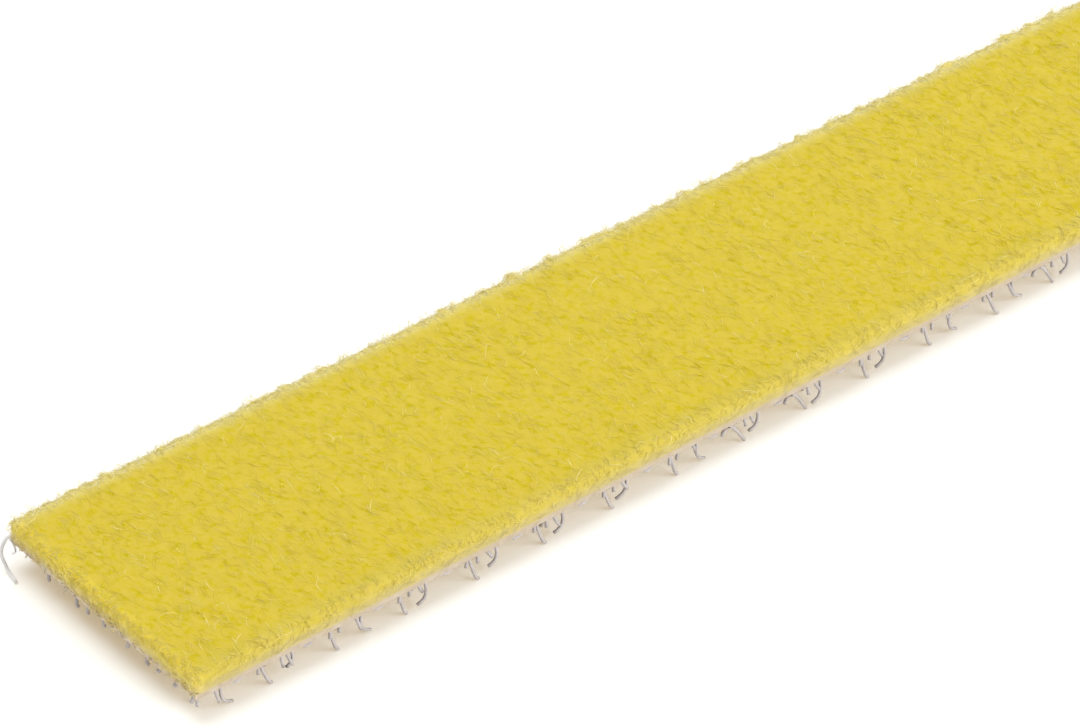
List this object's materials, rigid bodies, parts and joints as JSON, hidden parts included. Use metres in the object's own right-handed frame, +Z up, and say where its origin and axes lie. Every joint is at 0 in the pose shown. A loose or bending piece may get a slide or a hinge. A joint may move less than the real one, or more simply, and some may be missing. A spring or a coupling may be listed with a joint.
{
  "type": "hook and loop cable tie",
  "caption": "Flat flexible cable tie: a brushed yellow loop fabric bonded back to back with a pale woven tape that has rows of small hooks underneath.",
  "frame": {"origin": "middle of the strip's footprint, on the surface that the hooks stand on", "axes": "+X along the strip's length, +Y across its width, +Z up out of the loop side"},
  "size_m": [0.15, 0.016, 0.0031],
  "materials": {
    "loop_fabric": "yellow brushed pile of fine curly loops, matt and soft",
    "hook_tape": "pale pinkish woven ground with clear grey nylon hooks, slightly glossy"
  },
  "bodies": {
    "root": {"loop_fabric": "loop_fabric", "hook_tape": "hook_tape"}
  },
  "joints": []
}
